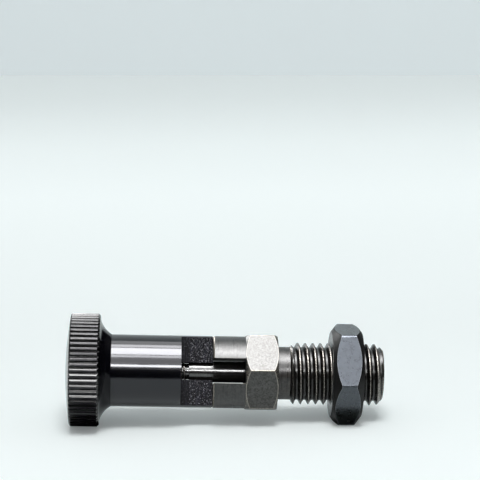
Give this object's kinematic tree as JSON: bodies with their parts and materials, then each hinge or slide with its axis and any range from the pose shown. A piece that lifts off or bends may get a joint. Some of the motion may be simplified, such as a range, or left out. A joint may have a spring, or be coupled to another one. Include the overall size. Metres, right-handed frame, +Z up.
{
  "type": "indexing plunger",
  "caption": "Indexing plunger with rest position: knurled pull knob with two tongues, slotted hexagon body, threaded shank, lock nut and sprung round-nosed pin, shown parked.",
  "frame": {"origin": "on the plunger's axis, in the front face of the body's hexagon, which seats on the plate", "axes": "+X along the axis towards the pin's tip, +Z up as the plunger lies"},
  "size_m": [0.0824, 0.0294, 0.0294],
  "materials": {
    "body": "blackened steel, worn bright on the edges",
    "knob": "black anodised, glossy, with worn knurl",
    "pin": "ground and hardened steel",
    "spring": "drawn spring wire",
    "nut": "blackened steel, greyish on the flats"
  },
  "bodies": {
    "housing": {"body": "body"},
    "spring_end": {"spring": "spring"},
    "plunger": {"pin": "pin", "knob": "knob"},
    "lock_nut": {"nut": "nut"}
  },
  "joints": [
    {"name": "pull", "type": "slide", "parent": "housing", "child": "spring_end", "axis": [-1, 0, 0], "range_m": [0, 0.002], "stiffness_N_per_m": 2400, "springref_m": -0.0133, "deforming": ["spring"]},
    {"name": "knob_turn", "type": "hinge", "parent": "spring_end", "child": "plunger", "pos_m": [0, 0, 0], "axis": [1, 0, 0], "range_deg": [-90, 90]},
    {"name": "nut_travel", "type": "slide", "parent": "housing", "child": "lock_nut", "axis": [1, 0, 0], "range_m": [-0.012, 0.004]}
  ]
}
